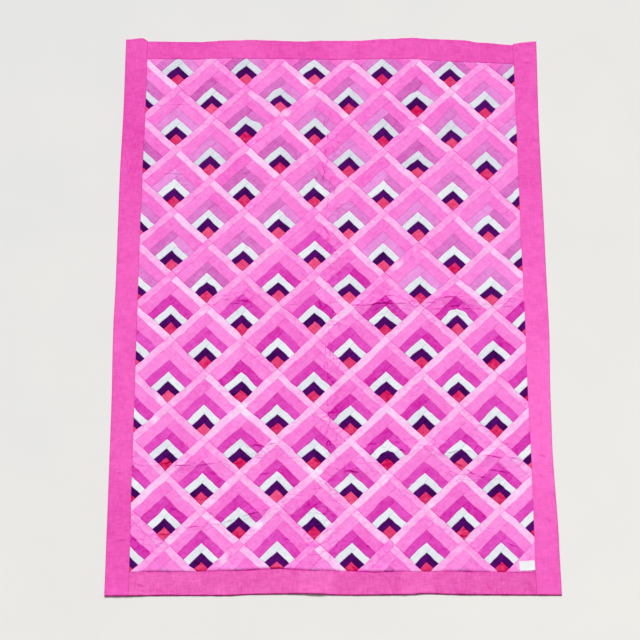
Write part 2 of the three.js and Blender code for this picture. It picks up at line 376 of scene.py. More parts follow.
ALL_CREASES = CREASES + small_wrinkles() + fold_wrinkles()

FOLD_SWELL = Swell(0.22, 90, 5)          # how unevenly the folds rise, as a share of their height
UNDULATION = Swell(0.4, 110, 7)
RIPPLE = Swell(0.2, 38, 8)
CRINKLED = 0.3               # how crinkled the flat cloth is halfway down
CRINKLED_BY_FOLD = 1.1       # how much more it is along a fold
CRINKLED_FALL = 3500         # how far down it is crinkled by 1 more
FOLD_REACH = 180             # across the crinkled cloth along a fold
BOTTOM_SEAM_PAINTED_SHADE = 0.35             # painted shade: how much deeper the cloth's colour is made for each millimetre of the bottom seam
BOTTOM_SEAM_SHADE_REACH = 2.2


def lift(x, y):
    """How far the underside stands off the floor."""
    height = np.zeros_like(x)
    for fold in FOLDS:
        height = np.maximum(height, ridge(x, y, fold.wide, fold.line))
    return height * (1 + waves(x, y, FOLD_SWELL))


def face_relief(x, y):
    """Unevenness of the face above its folds: soft undulation, creases and small wrinkles."""
    relief = waves(x, y, UNDULATION) + waves(x, y, RIPPLE)
    for crease in ALL_CREASES:
        relief += ridge(x, y, crease.wide, faded(crease), right_share=CREASE_STEEP)
    return relief


def painted_crease_shade(x, y, wide):
    """Painted shade in the creases: how much deeper the cloth's colour is made there."""
    tone = np.zeros_like(x)
    for crease in ALL_CREASES:
        tone = np.maximum(tone, ridge(x, y, wide, faded(crease), right_share=PAINTED_SHADE_STEEP))
    return CREASE_PAINTED_SHADE * tone


def crinkling(x, y):
    """How crinkled the cloth is: most along its folds, and more low on the quilt."""
    by_fold = np.zeros_like(x)
    for fold in FOLDS:
        level = [(at_x, at_y, 1) for at_x, at_y, _ in fold.line]
        by_fold = np.maximum(by_fold, ridge(x, y, FOLD_REACH, level))
    return CRINKLED - y / CRINKLED_FALL + CRINKLED_BY_FOLD * by_fold


def painted_bottom_seam_shade(x, y):
    """Painted shade along the seam above the bottom strip: how much deeper the cloth's colour is made
    there.
    """
    away = np.abs(y - line_place(SEAMS["bottom"], x))
    along_it = (x > PANEL["left"]) & (x < PANEL["right"])
    return BOTTOM_SEAM_PAINTED_SHADE * line_place(BOTTOM_SEAM, x) * np.exp(-away / BOTTOM_SEAM_SHADE_REACH) * along_it


def beside_creases(x, y, creases, reach=6):
    """Which places lie within reach of a crease's line."""
    beside = np.zeros(len(x), dtype=bool)
    for crease in creases:
        raised = [(*point, 1) for point in crease.line]
        beside |= ridge(x, y, 2 * reach, raised) > 0
    return beside


def rounded(distance, reach):
    """From 0 at an edge to 1 at its reach inward, as a quarter circle rises."""
    inward = 1 - np.clip(distance / reach, 0, 1)
    return np.sqrt(np.maximum(1 - inward ** 2, 0))


# ---- Making meshes ------------------------------------------------------------------------------

def select_only(*objects):
    bpy.ops.object.select_all(action="DESELECT")
    for obj in objects:
        obj.select_set(True)
    bpy.context.view_layer.objects.active = objects[0]


def places(obj):
    """The x, y and z of a mesh's points, in millimetres."""
    flat = np.empty(len(obj.data.vertices) * 3)
    obj.data.vertices.foreach_get("co", flat)
    return flat.reshape(-1, 3).T / MM


def put(obj, x, y, z):
    obj.data.vertices.foreach_set("co", (np.stack((x, y, z), axis=1) * MM).ravel())
    obj.data.update()


def give(obj, name, values):
    """Store a number for each point of a mesh under a name."""
    held = obj.data.attributes.get(name) or obj.data.attributes.new(name, "FLOAT", "POINT")
    held.data.foreach_set("value", np.asarray(values, dtype=np.float32))


def given(obj, name):
    values = np.empty(len(obj.data.vertices), dtype=np.float32)
    obj.data.attributes[name].data.foreach_get("value", values)
    return values.astype(float)


def graded(start, end, near_start, near_end, cell):
    """Grid places from start to end, with the given closer ones beside each end."""
    inner, outer = start + near_start[-1], end - near_end[-1]
    cells = math.ceil((outer - inner) / cell)
    even = [inner + (outer - inner) * k / cells for k in range(cells + 1)]
    before = [start] + [start + near for near in near_start[:-1]]
    return np.array(before + even + [end - near for near in reversed(near_end[:-1])] + [end])


def own_copy(obj):
    twin = obj.copy()
    twin.data = obj.data.copy()
    bpy.context.collection.objects.link(twin)
    return twin


def joined(objects, name):
    select_only(*objects)
    bpy.ops.object.join()
    whole = bpy.context.object
    whole.name = whole.data.name = name
    return whole


def smooth(obj):
    select_only(obj)
    bpy.ops.object.shade_smooth()


# ---- Cloths -------------------------------------------------------------------------------------

FULL_LIGHT = 1.15            # how much the lights brighten a level white cloth


def dyed(red, green, blue):
    """Colour of a cloth that looks so under the lights, each channel from 0 to 255."""
    def linear(channel):
        share = channel / 255
        return share / 12.92 if share <= 0.04045 else ((share + 0.055) / 1.055) ** 2.4
    return (*(linear(channel) / FULL_LIGHT for channel in (red, green, blue)), 1)


# Two shades of a cloth, how much blotches and streaks mix them, and how crinkled it is.
Cloth = namedtuple("Cloth", "deep pale blotch streak crinkled")

CLOTHS = {
    "red": Cloth(dyed(214, 24, 94), dyed(246, 92, 142), 0.9, 0.6, 1),
    "purple": Cloth(dyed(60, 0, 82), dyed(90, 7, 113), 1.3, 0.9, 1),
    "white": Cloth(dyed(216, 219, 230), dyed(236, 241, 245), 0.9, 0.8, 1),
    "mauve": Cloth(dyed(208, 92, 182), dyed(240, 150, 226), 0.6, 0.7, 1),
    "magenta": Cloth(dyed(212, 40, 168), dyed(237, 92, 204), 0.9, 0.7, 1),
    "pink": Cloth(dyed(244, 104, 204), dyed(255, 150, 229), 0.8, 0.6, 1),
    "pale_pink": Cloth(dyed(252, 136, 221), dyed(254, 202, 244), 0.9, 0.5, 1),
    "border": Cloth(dyed(230, 70, 174), dyed(252, 110, 203), 0.6, 0.8, 0.1),
    "lower_border": Cloth(dyed(223, 71, 167), dyed(249, 116, 200), 0.7, 0.95, 0.15),
    "label": Cloth(dyed(232, 231, 234), dyed(248, 247, 248), 0.9, 0.38, 0),
}


# Noises of the cloth. A scale says how many bumps there are in a metre, or about so.
BLOTCHES = {"scale": 14, "detail": 3}
MOTTLES = {"scale": 65, "detail": 3, "roughness": 0.6}
STREAKS = {"scale": 190, "detail": 3}
SLUBS = {"scale": 260, "detail": 2}
CRINKLE_LINES = {"scale": 24, "detail": 1.5}
GATHERS = {"scale": 7, "detail": 2}

MOTTLED = 1.2                # strength of the mottles beside the blotches
DRAWN_OUT = 0.14             # how slowly a streak changes along its thread
ROUGHNESS = 0.88             # of the cloth, and how much the mottles change it
MOTTLED_ROUGHNESS = 0.15
WEAVE_SHARE = 0.25           # of the threads' relief beside their thick places
THREAD = 0.0006              # from one thread to the next, in metres
CRINKLES_DRAWN_OUT = (0.8, 1.2)
CRINKLE_NARROW = 20          # how narrow the lines of crinkles are
CRINKLE_GATHERED = 5         # how strongly they gather in places
CRINKLE_RELIEF = 6.0         # times the weave's own relief
CRINKLE_PAINTED_SHADE = 0.28          # painted shade: how much deeper the cloth's colour is made in a crinkle
BUMP_STRENGTH = 0.5
BUMP_DISTANCE = 0.0002
CLOTH_SHINE = 0.06


def new_group(name, colours, values, outputs):
    """A node group with named inputs and outputs, its inputs' values and its outputs' ends."""
    tree = bpy.data.node_groups.new(name, "ShaderNodeTree")
    for label in colours:
        tree.interface.new_socket(label, in_out="INPUT", socket_type="NodeSocketColor")
    for label, value in values.items():
        made = tree.interface.new_socket(label, in_out="INPUT", socket_type="NodeSocketFloat")
        made.default_value = value
    for label in outputs:
        kind = "NodeSocketColor" if label == "Color" else "NodeSocketFloat"
        tree.interface.new_socket(label, in_out="OUTPUT", socket_type=kind)
    return tree, tree.nodes.new("NodeGroupInput").outputs, tree.nodes.new("NodeGroupOutput").inputs


def node(tree, kind, **settings):
    made = tree.nodes.new(kind)
    for name, value in settings.items():
        setattr(made, name, value)
    return made


def calculated(tree, operation, first, second):
    """A Math node on two values, each a number or another node's output."""
    made = node(tree, "ShaderNodeMath", operation=operation)
    for place, value in enumerate((first, second)):
        if isinstance(value, (int, float)):
            made.inputs[place].default_value = value
        else:
            tree.links.new(value, made.inputs[place])
    return made.outputs[0]


def own_places(tree):
    return node(tree, "ShaderNodeTexCoord").outputs["Object"]


def noise(tree, where, scale, detail, roughness=0.5):
    """A noise's value, from about -0.3 to 0.3."""
    made = node(tree, "ShaderNodeTexNoise")
    made.inputs["Scale"].default_value = scale
    made.inputs["Detail"].default_value = detail
    made.inputs["Roughness"].default_value = roughness
    tree.links.new(where, made.inputs["Vector"])
    return calculated(tree, "SUBTRACT", made.outputs["Fac"], 0.5)


def stretched(tree, where, x, y):
    """Places scaled each way, so that a pattern on them is drawn out."""
    made = node(tree, "ShaderNodeVectorMath", operation="MULTIPLY")
    tree.links.new(where, made.inputs[0])
    made.inputs[1].default_value = (x, y, 1)
    return made.outputs[0]


def turned_about_z(tree, where, angle):
    made = node(tree, "ShaderNodeVectorRotate", rotation_type="Z_AXIS")
    tree.links.new(where, made.inputs["Vector"])
    tree.links.new(angle, made.inputs["Angle"])
    return made.outputs[0]


def dyed_cotton_group():
    """Colour of hand-dyed cotton: two shades mixed by the patch's own tint, by blotches and by
    streaks along threads that took the dye unevenly."""
    tree, given_in, out = new_group(
        "dyed_cotton", ["Deep", "Pale"], {"Tint": 0.5, "Blotch": 1, "Streak": 1, "Turn": 0},
        ["Color", "Roughness"],
    )
    where = own_places(tree)
    broad, fine = noise(tree, where, **BLOTCHES), noise(tree, where, **MOTTLES)
    blotches = calculated(tree, "ADD", broad, calculated(tree, "MULTIPLY", fine, MOTTLED))
    blotches = calculated(tree, "MULTIPLY", blotches, given_in["Blotch"])
    along = turned_about_z(tree, where, given_in["Turn"])
    warp = noise(tree, stretched(tree, along, 1, DRAWN_OUT), **STREAKS)
    weft = noise(tree, stretched(tree, along, DRAWN_OUT, 1), **STREAKS)
    streaks = calculated(tree, "MULTIPLY", calculated(tree, "ADD", warp, weft), given_in["Streak"])
    share = calculated(tree, "ADD", calculated(tree, "ADD", blotches, streaks), given_in["Tint"])
    mix = node(tree, "ShaderNodeMix", data_type="RGBA", clamp_factor=False, clamp_result=True)
    tree.links.new(share, mix.inputs["Factor"])
    tree.links.new(given_in["Deep"], mix.inputs["A"])
    tree.links.new(given_in["Pale"], mix.inputs["B"])
    tree.links.new(mix.outputs["Result"], out["Color"])
    worn = calculated(tree, "MULTIPLY", fine, MOTTLED_ROUGHNESS)
    tree.links.new(calculated(tree, "ADD", worn, ROUGHNESS), out["Roughness"])
    return tree


def plain_weave_group():
    """Height of plain-woven threads that run at a turn to the quilt's sides, with thick places."""
    tree, given_in, out = new_group("plain_weave", [], {"Thread": THREAD, "Turn": 0}, ["Height"])
    along = turned_about_z(tree, own_places(tree), given_in["Turn"])
    parts = node(tree, "ShaderNodeSeparateXYZ")
    tree.links.new(along, parts.inputs[0])
    pace = calculated(tree, "DIVIDE", math.pi, given_in["Thread"])
    over = calculated(tree, "SINE", calculated(tree, "MULTIPLY", parts.outputs["X"], pace), 0)
    under = calculated(tree, "SINE", calculated(tree, "MULTIPLY", parts.outputs["Y"], pace), 0)
    weave = calculated(tree, "MULTIPLY", calculated(tree, "MULTIPLY", over, under), WEAVE_SHARE)
    tree.links.new(calculated(tree, "ADD", weave, noise(tree, along, **SLUBS)), out["Height"])
    return tree


def crinkles_group():
    """Fine crinkles left by washing and folding, gathered in places. Height is their relief, and the
    second output their painted shade, how much deeper the cloth's colour is made in their lines."""
    tree, given_in, out = new_group("crinkles", [], {"Crinkled": 0, "Share": 1}, ["Height", "Depth"])
    where = own_places(tree)
    drawn_out = stretched(tree, where, *CRINKLES_DRAWN_OUT)
    away = calculated(tree, "ABSOLUTE", noise(tree, drawn_out, **CRINKLE_LINES), 0)
    near = calculated(tree, "SUBTRACT", 1, calculated(tree, "MULTIPLY", away, CRINKLE_NARROW))
    lines = calculated(tree, "MAXIMUM", near, 0)
    gathered = calculated(tree, "MULTIPLY", noise(tree, where, **GATHERS), CRINKLE_GATHERED)
    strength = calculated(tree, "ADD", gathered, given_in["Crinkled"])
    strength = calculated(tree, "MAXIMUM", strength, 0)
    strength = calculated(tree, "MULTIPLY", strength, given_in["Share"])
    lines = calculated(tree, "MULTIPLY", lines, strength)
    tree.links.new(calculated(tree, "MULTIPLY", lines, CRINKLE_RELIEF), out["Height"])
    tree.links.new(calculated(tree, "MULTIPLY", lines, CRINKLE_PAINTED_SHADE), out["Depth"])
    return tree


def placed_group(tree, group, **values):
    made = node(tree, "ShaderNodeGroup", node_tree=group)
    for name, value in values.items():
        made.inputs[name].default_value = value
    return made


def cloth_material(name, cloth, turn):
    """A woven cotton cloth with its threads at a turn, tinted and crinkled as the mesh's own "tint" and
    "crinkled" say. The tint carries painted shade in creases, seams and rolled edges, and the crinkles
    paint shade into their lines."""
    material = bpy.data.materials.new(name)
    material.use_nodes = True
    tree = material.node_tree
    shader = tree.nodes["Principled BSDF"]
    colour = placed_group(
        tree, DYED_COTTON, Deep=cloth.deep, Pale=cloth.pale,
        Blotch=cloth.blotch, Streak=cloth.streak, Turn=turn,
    )
    tint = node(tree, "ShaderNodeAttribute", attribute_name="tint")
    crinkles = placed_group(tree, CRINKLES, Share=cloth.crinkled)
    crinkled = node(tree, "ShaderNodeAttribute", attribute_name="crinkled")
    tree.links.new(crinkled.outputs["Fac"], crinkles.inputs["Crinkled"])
    # Painted shade in the crinkles' lines deepens the tint.
    tint_less_crinkle_shade = calculated(tree, "SUBTRACT", tint.outputs["Fac"], crinkles.outputs["Depth"])
    tree.links.new(tint_less_crinkle_shade, colour.inputs["Tint"])
    tree.links.new(colour.outputs["Color"], shader.inputs["Base Color"])
    tree.links.new(colour.outputs["Roughness"], shader.inputs["Roughness"])
    weave = placed_group(tree, PLAIN_WEAVE, Turn=turn)
    bump = node(tree, "ShaderNodeBump")
    bump.inputs["Strength"].default_value = BUMP_STRENGTH
    bump.inputs["Distance"].default_value = BUMP_DISTANCE
    relief = calculated(tree, "ADD", weave.outputs["Height"], crinkles.outputs["Height"])
    tree.links.new(relief, bump.inputs["Height"])
    tree.links.new(bump.outputs["Normal"], shader.inputs["Normal"])
    shader.inputs["Specular IOR Level"].default_value = CLOTH_SHINE
    return material


DYED_COTTON = dyed_cotton_group()
PLAIN_WEAVE = plain_weave_group()
CRINKLES = crinkles_group()
SQUARE_ON = ("border", "lower_border", "label")     # their threads run along the quilt's sides
MATERIALS = {
    name: cloth_material(name + "_cotton", cloth, 0 if name in SQUARE_ON else math.pi / 4)
    for name, cloth in CLOTHS.items()
}


def dress(obj, cloth):
    obj.data.materials.clear()
    obj.data.materials.append(MATERIALS[cloth])


# ---- The patchwork ------------------------------------------------------------------------------

# A block is a half log cabin that stands on its red corner. Its strips, from that corner outwards:
# each has a long left arm and a short right arm. The deep strip is mauve or magenta.
Strip = namedtuple("Strip", "cloth wide")
STRIPS = [
    Strip("red", 37.0), Strip("purple", 24.8), Strip("white", 26.7), Strip("deep", 33.3),
    Strip("pink", 40.8), Strip("pale_pink", 27.9),
]
BLOCK = sum(strip.wide for strip in STRIPS)
STEP = BLOCK / math.sqrt(2)          # from one row or column of blocks to the next
CELL = 5.2                           # of a patch's mesh, with finer ones beside its seams
SEAM_CELLS = (0.8, 2.4, 6.0)
BY_CREASES = 3                       # longest cell beside any crease, and beside the larger ones
BY_LARGE_CREASES = 2

# The lattice that the blocks stand on: columns from the left and rows from the top. A block is at
# each place where the column and row add up to an odd number.
FIRST_COLUMN = -745.5
FIRST_ROW = 933.1
COLUMNS = range(0, 12)
ROWS = range(0, 17)

# Places where the patchwork is pulled out of true: the place, how far the pull reaches, and how
# far it moves the cloth to the right and up.
Pull = namedtuple("Pull", "x y reach right up")
PULLS = [Pull(*row) for row in [
    # broad ones
    (0, 0, 2000, 2, 0), (-100, 650, 420, 4, 0), (390, 200, 230, -2, -11),
    (-230, -350, 230, 0, -7), (600, 900, 220, 2, 0), (600, -900, 220, 2, 5),
    (-450, -850, 200, -4, -1), (740, 430, 170, 0, -9), (240, 500, 170, -2, -5),
    (-230, 200, 170, 0, -6), (330, 710, 160, 0, -11), (-330, 700, 150, 0, 8),
    # those at a few hearts
    (190, -900, 140, 3, 4), (60, 850, 130, 0, 6), (720, -920, 120, -2, 4),
    (330, -500, 120, 0, -4), (-180, 560, 110, 0, 7), (200, 250, 110, -3, 0),
    (-610, -90, 100, 3, 4), (0, 500, 90, -3, 0), (-207, -1030, 90, 2, -5),
    (-72, 180, 85, 4, 9), (-72, -90, 85, 4, 9), (465, -90, 85, 3, 7),
    # tips rounded off and arms bowed
    (195, -593, 22, 0, -8), (195, -630, 14, 0, -4), (170, -612, 16, -2, 4),
    (220, -612, 16, 2, 4), (268, -604, 22, 2, -8), (-498, 48, 14, -3, 4),
    (-450, 50, 14, 3, 4), (468, -24, 20, 0, -7), (440, -42, 16, -3, 4),
    (497, -42, 16, 3, 4), (332, -730, 14, 0, -4), (-232, 902, 22, -4, 7),
    (-105, 990, 18, -4, 3), (62, 1050, 30, 0, -9), (196, -62, 26, -5, -2),
    (20, -186, 18, 3, 4),
    # hearts turned or stretched, and the bowed arms above them
    (-240, 852, 34, 2, 14), (-202, 812, 25, 0, 12), (-285, 738, 32, 4, 14),
    (-70, 1048, 20, 0, -6), (468, 835, 42, 2, 15), (395, 866, 30, 7, 7),
    (335, 922, 30, 5, -8), (605, 1045, 45, 0, -10),
]]

# Places where the palest arms are nearly white, with how far that reaches.
PALE_SPOTS = [
    (-75, 905, 24), (-115, 950, 24), (-178, 806, 22), (490, 928, 22), (365, 752, 22),
    (60, 800, 20), (255, 150, 24),
]
PALED = 0.7                  # how much paler they are in their middle
PALE_BELOW = -300            # lower down, such places are strewn unevenly
PALE_RAMP = 100              # how far down from there they come in
PALE_FIELD = Swell(1, 110, 71)
PALE_OVER = 0.75             # how high that field is where they start

# How unevenly piecing and washing have moved the patchwork, to the right and up.
MOVED_RIGHT = (Swell(1.3, 80, 22), Swell(0.5, 36, 25))
MOVED_UP = (Swell(1.3, 80, 24), Swell(0.5, 36, 26))

# The lower half's deep strips are magenta, and the first of them come at the middle.
MAGENTA_ROWS = range(8, 16)
FIRST_MAGENTA = ((5, 6), (4, 7), (6, 7))     # column and row

# How pale a strip's left and right arms are: in general and in its lower rows, and how far an arm
# may be from that.
Tint = namedtuple("Tint", "general lower lower_rows stray")
TINTS = {
    "purple": [Tint(0.45, 0.45, ROWS, 0.25)] * 2,
    "white": [Tint(0.2, 0.68, ROWS[4:], 0.22)] * 2,
    "mauve": [Tint(0.47, 0.6, ROWS[4:], 0.38)] * 2,
    "magenta": [Tint(0.46, 0.46, ROWS, 0.3)] * 2,
    "pink": [Tint(0.42, 0.58, ROWS[7:], 0.28)] * 2,
    "pale_pink": [Tint(0.32, 0.73, ROWS[9:16], 0.24), Tint(0.6, 0.6, ROWS, 0.4)],
}

# Some red corners are coral: the share of them, mostly and in the rows that have more, and how pale
# coral and crimson ones are.
CORAL_SHARE = 0.18
CORAL_ROWS = range(4, 9)
CORAL_SHARE_THERE = 0.55
CORAL_TINTS = (0.5, 0.95)
CRIMSON_TINTS = (0.08, 0.45)


def patch_shapes():
    """Each patch of a block: its cloth, which arm it is, and its lowest and highest corners."""
    shapes = []
    start = 0
    for strip in STRIPS:
        end = start + strip.wide
        shapes.append((strip.cloth, "left", (0, start), (end, end)))
        if start > 0:
            shapes.append((strip.cloth, "right", (start, 0), (end, start)))
        start = end
    return shapes


def flat_patch(low, high):
    """A flat rectangle between two corners, its mesh cut closely beside its seams."""
    bpy.ops.object.select_all(action="DESELECT")
    bpy.ops.mesh.primitive_plane_add(size=1)
    patch = bpy.context.object
    patch.scale = ((high[0] - low[0]) * MM, (high[1] - low[1]) * MM, 1)
    patch.location = ((high[0] + low[0]) * MM / 2, (high[1] + low[1]) * MM / 2, 0)
    bpy.ops.object.transform_apply(location=True, rotation=True, scale=True)
    bpy.ops.object.mode_set(mode="EDIT")
    for way, across in enumerate(((1, 0, 0), (0, 1, 0))):
        for cut in graded(low[way], high[way], SEAM_CELLS, SEAM_CELLS, CELL)[1:-1]:
            bpy.ops.mesh.select_all(action="SELECT")
            bpy.ops.mesh.bisect(plane_co=(cut * MM, cut * MM, 0), plane_no=across)
    bpy.ops.object.mode_set(mode="OBJECT")
    return patch


def block_patches():
    """The patches of one block with its red corner at the origin, joined by cloth.

    Each point keeps its distance from its patch's seams, from the one nearest the red corner, where
    the allowance is pressed under it, and from the long seams between rows of blocks.
    """
    by_cloth = {}
    for cloth, arm, low, high in patch_shapes():
        patch = flat_patch(low, high)
        x, y, _ = places(patch)
        give(patch, "from_seam", np.minimum.reduce([x - low[0], high[0] - x, y - low[1], high[1] - y]))
        give(patch, "from_inner", y - low[1] if arm == "left" else x - low[0])
        give(patch, "from_row_seam", np.minimum(x, BLOCK - x))
        give(patch, "right_arm", np.full(len(x), arm == "right"))
        by_cloth.setdefault(cloth, []).append(patch)
    return {cloth: joined(patches, "block_" + cloth) for cloth, patches in by_cloth.items()}


def deep_cloth(column, row):
    magenta = row in MAGENTA_ROWS or (column, row) in FIRST_MAGENTA
    return "magenta" if magenta else "mauve"


def tints(cloth, row, draw):
    """How pale the left and the right arm of a strip are."""
    if cloth == "red":
        coral = draw.random() < (CORAL_SHARE_THERE if row in CORAL_ROWS else CORAL_SHARE)
        return [draw.uniform(*(CORAL_TINTS if coral else CRIMSON_TINTS))] * 2
    return [(arm.lower if row in arm.lower_rows else arm.general) + draw.uniform(-arm.stray, arm.stray)
            for arm in TINTS[cloth]]


def set_blocks(patterns):
    """Copy one block's patches to every place of the lattice, and join them by cloth."""
    draw = random.Random(12)
    copies = {}
    for row in ROWS:
        for column in COLUMNS:
            if (row + column) % 2 == 0:
                continue
            corner = Vector((FIRST_COLUMN + column * STEP, FIRST_ROW - row * STEP, 0)) * MM
            for pattern_cloth, pattern in patterns.items():
                cloth = deep_cloth(column, row) if pattern_cloth == "deep" else pattern_cloth
                patches = own_copy(pattern)
                patches.data.transform(Matrix.Translation(corner) @ Matrix.Rotation(math.pi / 4, 4, "Z"))
                left, right = tints(cloth, row, draw)
                give(patches, "tint", np.where(given(patches, "right_arm") > 0.5, right, left))
                copies.setdefault(cloth, []).append(patches)
    for pattern in patterns.values():
        bpy.data.objects.remove(pattern)
    return {cloth: joined(patches, "patches_" + cloth) for cloth, patches in copies.items()}


def pull_about(obj):
    """Move the flat patchwork's points as uneven piecing and washing have."""
    x, y, z = places(obj)
    right = sum(waves(x, y, swell) for swell in MOVED_RIGHT)
    up = sum(waves(x, y, swell) for swell in MOVED_UP)
    for pull in PULLS:
        share = np.exp(-((x - pull.x) ** 2 + (y - pull.y) ** 2) / pull.reach ** 2)
        right += pull.right * share
        up += pull.up * share
    put(obj, x + right, y + up, z)


def paled(x, y):
    """How much paler the palest cloth is in its pale spots."""
    spots = sum(PALED * np.exp(-((x - at_x) ** 2 + (y - at_y) ** 2) / reach ** 2)
                for at_x, at_y, reach in PALE_SPOTS)
    strewn = PALED * np.clip(waves(x, y, PALE_FIELD) - PALE_OVER, 0, 1)
    return spots + strewn * np.clip((PALE_BELOW - y) / PALE_RAMP, 0, 1)


def trim_to_panel(obj):
    """Cut away what lies past the panel's four sides."""
    cuts = [
        ((PANEL["left"], 0), (-1, 0, 0)), ((PANEL["right"], 0), (1, 0, 0)),
        ((0, PANEL["bottom"]), (0, -1, 0)), ((0, PANEL["top"]), (0, 1, 0)),
    ]
    select_only(obj)
    bpy.ops.object.mode_set(mode="EDIT")
    for (x, y), outward in cuts:
        bpy.ops.mesh.select_all(action="SELECT")
        bpy.ops.mesh.bisect(plane_co=(x * MM, y * MM, 0), plane_no=outward, clear_outer=True)
    bpy.ops.object.mode_set(mode="OBJECT")


def refine(obj, creases, longest):
    """Halve the flat patchwork's edges that lie beside creases and are longer than that."""
    ends = np.empty(len(obj.data.edges) * 2, dtype=np.int32)
    obj.data.edges.foreach_get("vertices", ends)
    first, second = ends.reshape(-1, 2).T
    x, y, _ = places(obj)
    long = np.hypot(x[second] - x[first], y[second] - y[first]) > longest
    middle = (x[first] + x[second]) / 2, (y[first] + y[second]) / 2
    chosen = long & beside_creases(*laid_between(PANEL_SIDES, *middle), creases)
    select_only(obj)
    bpy.ops.object.mode_set(mode="EDIT")
    bpy.ops.mesh.select_mode(type="EDGE")
    bpy.ops.mesh.select_all(action="DESELECT")
    cells = bmesh.from_edit_mesh(obj.data)
    for edge, is_chosen in zip(cells.edges, chosen):
        edge.select_set(bool(is_chosen))
    bmesh.update_edit_mesh(obj.data)
    bpy.ops.mesh.subdivide(number_cuts=1)
    bpy.ops.object.mode_set(mode="OBJECT")


PANEL_TOP = 5.4              # top of the patches' soft crowns above the underside
SEAM_DEPTH = 0.7             # from there down into the seams between patches
SEAM_ROUND = 1.8             # how far from a seam a patch rounds off
ROW_SEAM_DEPTH = 1.2         # further down into the seams between rows of blocks
PANEL_SEAM_DEPTH = 2.0       # down into the seam with the border
ALLOWANCE = 5.5              # width of the allowance pressed under a patch
ALLOWANCE_HIGH = 0.4
ALLOWANCE_RAMP = 2.5         # how far it takes to run out
LEAST_THICK = 1.5            # of the panel, where creases and seams sink in
ROUNDED_CROWN = 0.75         # share of a patch's crown that rounds off right at its seams
CROWN_REACH = 9              # how far in the rest of it rises
SEAM_PUCKERS = Swell(0.22, 13, 41)
SEAM_SWELL = Swell(0.35, 120, 42)        # how unevenly the seams sink in, as shares of their depth
ROW_SEAM_SWELL = Swell(0.6, 90, 43)
SIDE_ROUND = 4.0             # how far from a join the cloth rounds off
BOTTOM_ROUND = 4.5           # the same on the panel, from its bottom join
BULGE = 0.8                  # of the cloth above the bottom seam, for each millimetre of its depth
BULGE_PLACE = 8
BULGE_REACH = 9
PATCH_CREASE_SHADE_WIDE = 7             # width of the stripe of painted shade along a crease, on patches and on the border
BORDER_CREASE_SHADE_WIDE = 10
SEAM_PAINTED_SHADE = 0.45             # painted shade: how much deeper a patch's colour is made right at its seams
LINE_REACH = 0.8


def panel_face(x, y, from_seam, from_inner, from_row_seam):
    """Where the patches' face lies, from its flat place and its distances from seams."""
    laid_x, laid_y = laid_between(PANEL_SIDES, x, y)
    by_seam = np.exp(-from_seam / CROWN_REACH)
    crown = ROUNDED_CROWN * rounded(from_seam, SEAM_ROUND) + (1 - ROUNDED_CROWN) * (1 - by_seam)
    puckers = waves(x, y, SEAM_PUCKERS) * by_seam
    allowance = ALLOWANCE_HIGH * (1 - np.clip((from_inner - ALLOWANCE) / ALLOWANCE_RAMP, 0, 1))
    from_side = np.minimum.reduce([x - PANEL["left"], PANEL["right"] - x, PANEL["top"] - y])
    from_bottom = y - PANEL["bottom"]
    drawn_in = line_place(BOTTOM_SEAM, laid_x)
    sunk = PANEL_SEAM_DEPTH * (1 - rounded(from_side, SIDE_ROUND))
    sunk = np.maximum(sunk, drawn_in * (1 - rounded(from_bottom, BOTTOM_ROUND)))
    bulge = BULGE * drawn_in * np.exp(-((from_bottom - BULGE_PLACE) / BULGE_REACH) ** 2)
    seam = SEAM_DEPTH * (1 + waves(x, y, SEAM_SWELL)) * (1 - crown)
    row_seam = ROW_SEAM_DEPTH * (1 + waves(x, y, ROW_SEAM_SWELL))
    seam += np.maximum(row_seam, 0) * (1 - rounded(from_row_seam, SEAM_ROUND))
    height = PANEL_TOP - seam + (puckers + allowance) * crown - sunk + bulge
    height = np.maximum(height + face_relief(laid_x, laid_y), LEAST_THICK)
    return laid_x, laid_y, lift(laid_x, laid_y) + height


def patchwork():
    """The pieced top, one object for each cloth."""
    pieces = set_blocks(block_patches())
    for cloth, obj in pieces.items():
        pull_about(obj)
        trim_to_panel(obj)
        refine(obj, ALL_CREASES, BY_CREASES)
        refine(obj, CREASES, BY_LARGE_CREASES)
        x, y, _ = places(obj)
        distances = [given(obj, name) for name in ("from_seam", "from_inner", "from_row_seam")]
        laid_x, laid_y, height = panel_face(x, y, *distances)
        put(obj, laid_x, laid_y, height)
        # Painted shade deepens the patches' tint along the creases, along the bottom seam and right at
        # every seam.
        deeper = painted_crease_shade(laid_x, laid_y, PATCH_CREASE_SHADE_WIDE) + painted_bottom_seam_shade(laid_x, laid_y)
        deeper += SEAM_PAINTED_SHADE * np.exp(-distances[0] / LINE_REACH)
        paler = paled(laid_x, laid_y) if cloth == "pale_pink" else 0
        give(obj, "tint", given(obj, "tint") + paler - deeper)
        give(obj, "crinkled", crinkling(laid_x, laid_y))
        smooth(obj)
        dress(obj, cloth)
    return pieces


# ---- Closed sheets: backing and border ----------------------------------------------------------

